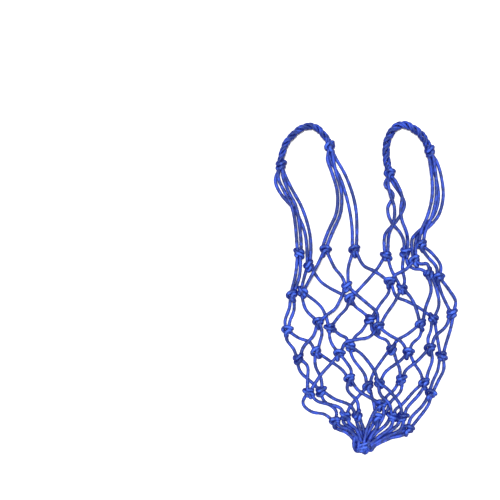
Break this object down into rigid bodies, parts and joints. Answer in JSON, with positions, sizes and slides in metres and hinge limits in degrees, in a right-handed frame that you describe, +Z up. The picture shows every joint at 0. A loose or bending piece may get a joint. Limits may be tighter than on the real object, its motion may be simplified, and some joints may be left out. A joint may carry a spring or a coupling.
{
  "type": "mesh ball bag",
  "caption": "Open net ball bag of knotted round cord, closed in a bunch at the bottom, with two braided carrying grips",
  "frame": {"origin": "centre of the bag's outline on the surface it lies on", "axes": "+Z up from the surface, +Y from the bunch to the carrying grips, +X to the right seen from above"},
  "size_m": [0.2644, 0.4805, 0.016],
  "materials": {
    "cord": "braided satin cord",
    "knot": "braided satin cord pulled tight",
    "sealed_end": "melted and sealed cord end"
  },
  "bodies": {
    "net": {"mouth_knots_left": "knot", "mouth_knots_right": "knot", "knots_row_2": "knot", "knots_row_3": "knot", "knots_row_4": "knot", "knots_row_5": "knot", "knots_row_6": "knot", "strands_1_2_back": "cord", "strands_1_2_front": "cord", "strands_2_3_back": "cord", "strands_2_3_front": "cord", "strands_3_4_back": "cord", "strands_3_4_front": "cord", "strands_4_5_back": "cord", "strands_4_5_front": "cord", "strands_5_6_back": "cord", "strands_5_6_front": "cord", "bunch_strands_back": "cord", "bunch_strands_middle": "cord", "bunch_strands_front": "cord", "bunch_wrap": "knot", "bunch_loops": "cord", "cord_tails": "sealed_end", "mouth_cords_left": "cord", "mouth_cords_right": "cord"},
    "left_legs": {"left_leg_outer_front": "cord", "left_leg_outer_back": "cord", "left_leg_inner_front": "cord", "left_leg_inner_back": "cord"},
    "left_grip": {"left_grip_cords_a": "cord", "left_grip_cords_b": "cord", "left_grip_outer_knot": "knot", "left_grip_inner_knot": "knot"},
    "right_legs": {"right_leg_inner_front": "cord", "right_leg_inner_back": "cord", "right_leg_outer_front": "cord", "right_leg_outer_back": "cord"},
    "right_grip": {"right_grip_cords_a": "cord", "right_grip_cords_b": "cord", "right_grip_inner_knot": "knot", "right_grip_outer_knot": "knot"}
  },
  "joints": [
    {"name": "left_handle_swing", "type": "hinge", "parent": "net", "child": "left_legs", "pos_m": [-0.056, 0.051, 0.006], "axis": [1, 0, 0], "range_deg": [0, 120]},
    {"name": "left_grip_fold", "type": "hinge", "parent": "left_legs", "child": "left_grip", "pos_m": [-0.122, 0.176, 0.0075], "axis": [0.939, 0.3439, 0], "range_deg": [0, 80]},
    {"name": "right_handle_swing", "type": "hinge", "parent": "net", "child": "right_legs", "pos_m": [0.058, 0.051, 0.006], "axis": [1, 0, 0], "range_deg": [0, 120]},
    {"name": "right_grip_fold", "type": "hinge", "parent": "right_legs", "child": "right_grip", "pos_m": [0.035, 0.163, 0.0075], "axis": [0.8692, 0.4945, 0], "range_deg": [0, 80]}
  ]
}
